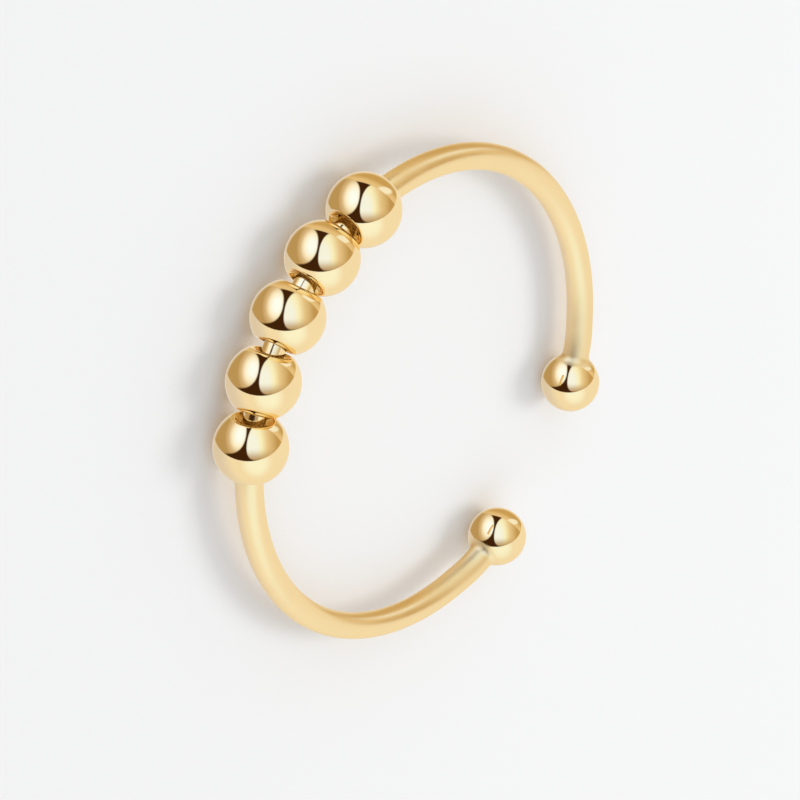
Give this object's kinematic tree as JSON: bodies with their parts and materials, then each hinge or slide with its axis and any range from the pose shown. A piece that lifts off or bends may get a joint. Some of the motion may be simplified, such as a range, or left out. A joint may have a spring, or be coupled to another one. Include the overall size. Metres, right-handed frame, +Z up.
{
  "type": "spinner ring",
  "caption": "Open polished metal finger ring with a ball on each end and a row of drilled round beads that spin on a thinner stretch of its wire.",
  "frame": {"origin": "on the surface that the ring rests on, under the middle of its box", "axes": "+Z up, out of the finger hole; the ring lies on its side with its beads towards -Y and its gap towards +Y; X runs across the ring, which is the same on both sides of X = 0"},
  "size_m": [0.0206, 0.0216, 0.003],
  "materials": {
    "band_metal": "polished gold plating",
    "bead_metal": "mirror-polished gold plating"
  },
  "bodies": {
    "band": {"band": "band_metal"},
    "bead_1": {"bead_1": "bead_metal"},
    "bead_2": {"bead_2": "bead_metal"},
    "bead_3": {"bead_3": "bead_metal"},
    "bead_4": {"bead_4": "bead_metal"},
    "bead_5": {"bead_5": "bead_metal"}
  },
  "joints": [
    {"name": "bead_1_spin", "type": "hinge", "parent": "band", "child": "bead_1", "pos_m": [-0.00512, -0.0078, 0.0015], "axis": [0.8501, -0.5265, 0.0101], "continuous": true},
    {"name": "bead_2_spin", "type": "hinge", "parent": "band", "child": "bead_2", "pos_m": [-0.00266, -0.00889, 0.00152], "axis": [0.9618, -0.2737, 0.0053], "continuous": true},
    {"name": "bead_3_spin", "type": "hinge", "parent": "band", "child": "bead_3", "pos_m": [0, -0.00926, 0.00153], "axis": [1, 0, 0], "continuous": true},
    {"name": "bead_4_spin", "type": "hinge", "parent": "band", "child": "bead_4", "pos_m": [0.00266, -0.00889, 0.00152], "axis": [0.9618, 0.2737, -0.0053], "continuous": true},
    {"name": "bead_5_spin", "type": "hinge", "parent": "band", "child": "bead_5", "pos_m": [0.00512, -0.0078, 0.0015], "axis": [0.8501, 0.5265, -0.0101], "continuous": true}
  ]
}
